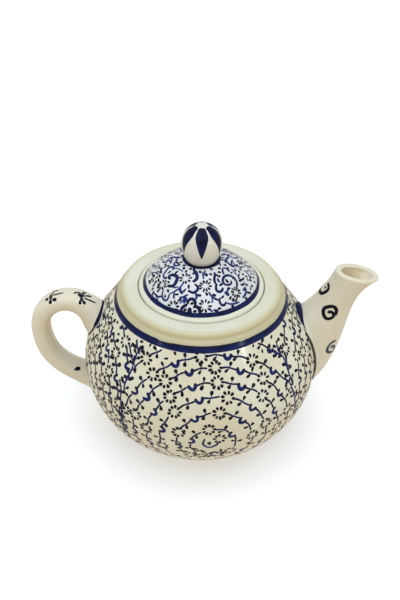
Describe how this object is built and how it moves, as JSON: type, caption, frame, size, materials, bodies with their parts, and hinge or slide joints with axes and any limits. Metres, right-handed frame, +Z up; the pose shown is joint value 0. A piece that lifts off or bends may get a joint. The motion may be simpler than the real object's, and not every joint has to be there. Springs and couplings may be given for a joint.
{
  "type": "teapot",
  "caption": "Round-bellied glazed teapot with a swept spout, a looped handle, a gallery collar and a domed lift-off lid with a ball knob, painted with a cobalt spiral scroll.",
  "frame": {"origin": "centre of the foot ring on the table, on the pot's turning axis", "axes": "+Z up along the turning axis, +X towards the spout, -X towards the handle"},
  "size_m": [0.2294, 0.16, 0.1604],
  "materials": {
    "painted_glaze": "clear gloss glaze over cobalt painting on an ivory ground",
    "cream_glaze": "clear gloss glaze on an ivory ground",
    "bare_clay": "unglazed fired clay, ground flat where it stands"
  },
  "bodies": {
    "pot": {"body": "painted_glaze", "foot_ring": "bare_clay", "gallery_collar": "cream_glaze", "spout": "cream_glaze", "handle": "cream_glaze"},
    "lid": {"lid": "painted_glaze", "lid_knob": "cream_glaze"}
  },
  "joints": [
    {"name": "lid_lift", "type": "slide", "parent": "pot", "child": "lid", "axis": [0, 0, 1], "range_m": [0, 0.06]}
  ]
}
